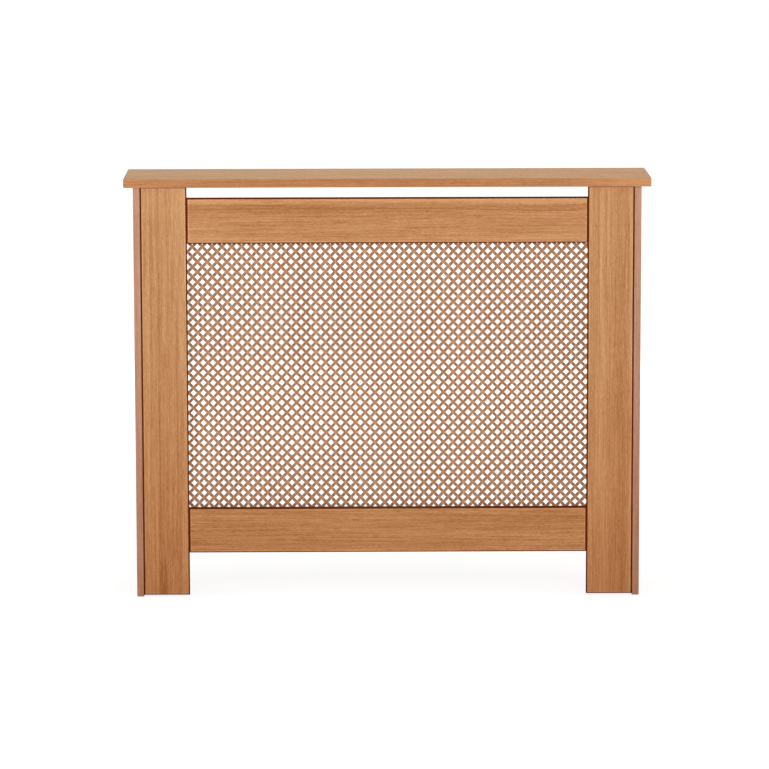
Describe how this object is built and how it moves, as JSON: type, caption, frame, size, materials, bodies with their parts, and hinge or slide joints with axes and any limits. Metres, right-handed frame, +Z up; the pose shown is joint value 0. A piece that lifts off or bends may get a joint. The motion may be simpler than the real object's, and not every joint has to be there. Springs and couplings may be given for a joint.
{
  "type": "radiator cover cabinet",
  "caption": "Open-backed cabinet that stands over a wall radiator: overhanging top board, two side panels and a front frame of stiles and rails round a diamond lattice grille.",
  "frame": {"origin": "on the floor, under the middle of the top board", "axes": "+Z up, +X to the right, the front faces -Y and the wall is at the back, +Y"},
  "size_m": [1.115, 0.21, 0.9],
  "materials": {
    "oak_foil_top": "oak-effect foil on board, satin, grain along the board",
    "oak_foil_side": "oak-effect foil on board, satin, upright grain",
    "oak_foil_frame": "oak-effect foil on board, satin, dark brown bevels and edges",
    "oak_edge_band": "oak-effect edging strip, satin, a little pinker than the boards",
    "grille_hardboard": "perforated hardboard with an oak-effect face, matt",
    "zinc_steel": "bright zinc plate",
    "bracket_steel": "zinc-plated steel",
    "cam_zinc": "die-cast zinc",
    "cap_plastic": "oak-coloured plastic, matt",
    "beech_dowel": "plain beech"
  },
  "bodies": {
    "root": {"top_board": "oak_foil_top", "top_front_edge_band": "oak_edge_band", "top_left_edge_band": "oak_edge_band", "top_right_edge_band": "oak_edge_band", "left_side_panel": "oak_foil_side", "right_side_panel": "oak_foil_side", "left_side_edge_band": "oak_edge_band", "right_side_edge_band": "oak_edge_band", "left_stile": "oak_foil_frame", "right_stile": "oak_foil_frame", "top_rail": "oak_foil_frame", "bottom_rail": "oak_foil_frame", "lattice_grille": "grille_hardboard", "grille_screws": "zinc_steel", "grille_washers": "zinc_steel", "left_wall_bracket": "bracket_steel", "right_wall_bracket": "bracket_steel", "bracket_screws": "zinc_steel", "cam_cover_caps": "cap_plastic", "rail_cam_bolts": "zinc_steel", "rail_cam_locks": "cam_zinc", "rail_dowels": "beech_dowel", "stile_cam_bolts": "zinc_steel", "stile_cam_locks": "cam_zinc", "stile_dowels": "beech_dowel", "top_cam_bolts": "zinc_steel", "top_cam_locks": "cam_zinc", "top_dowels": "beech_dowel"}
  },
  "joints": []
}
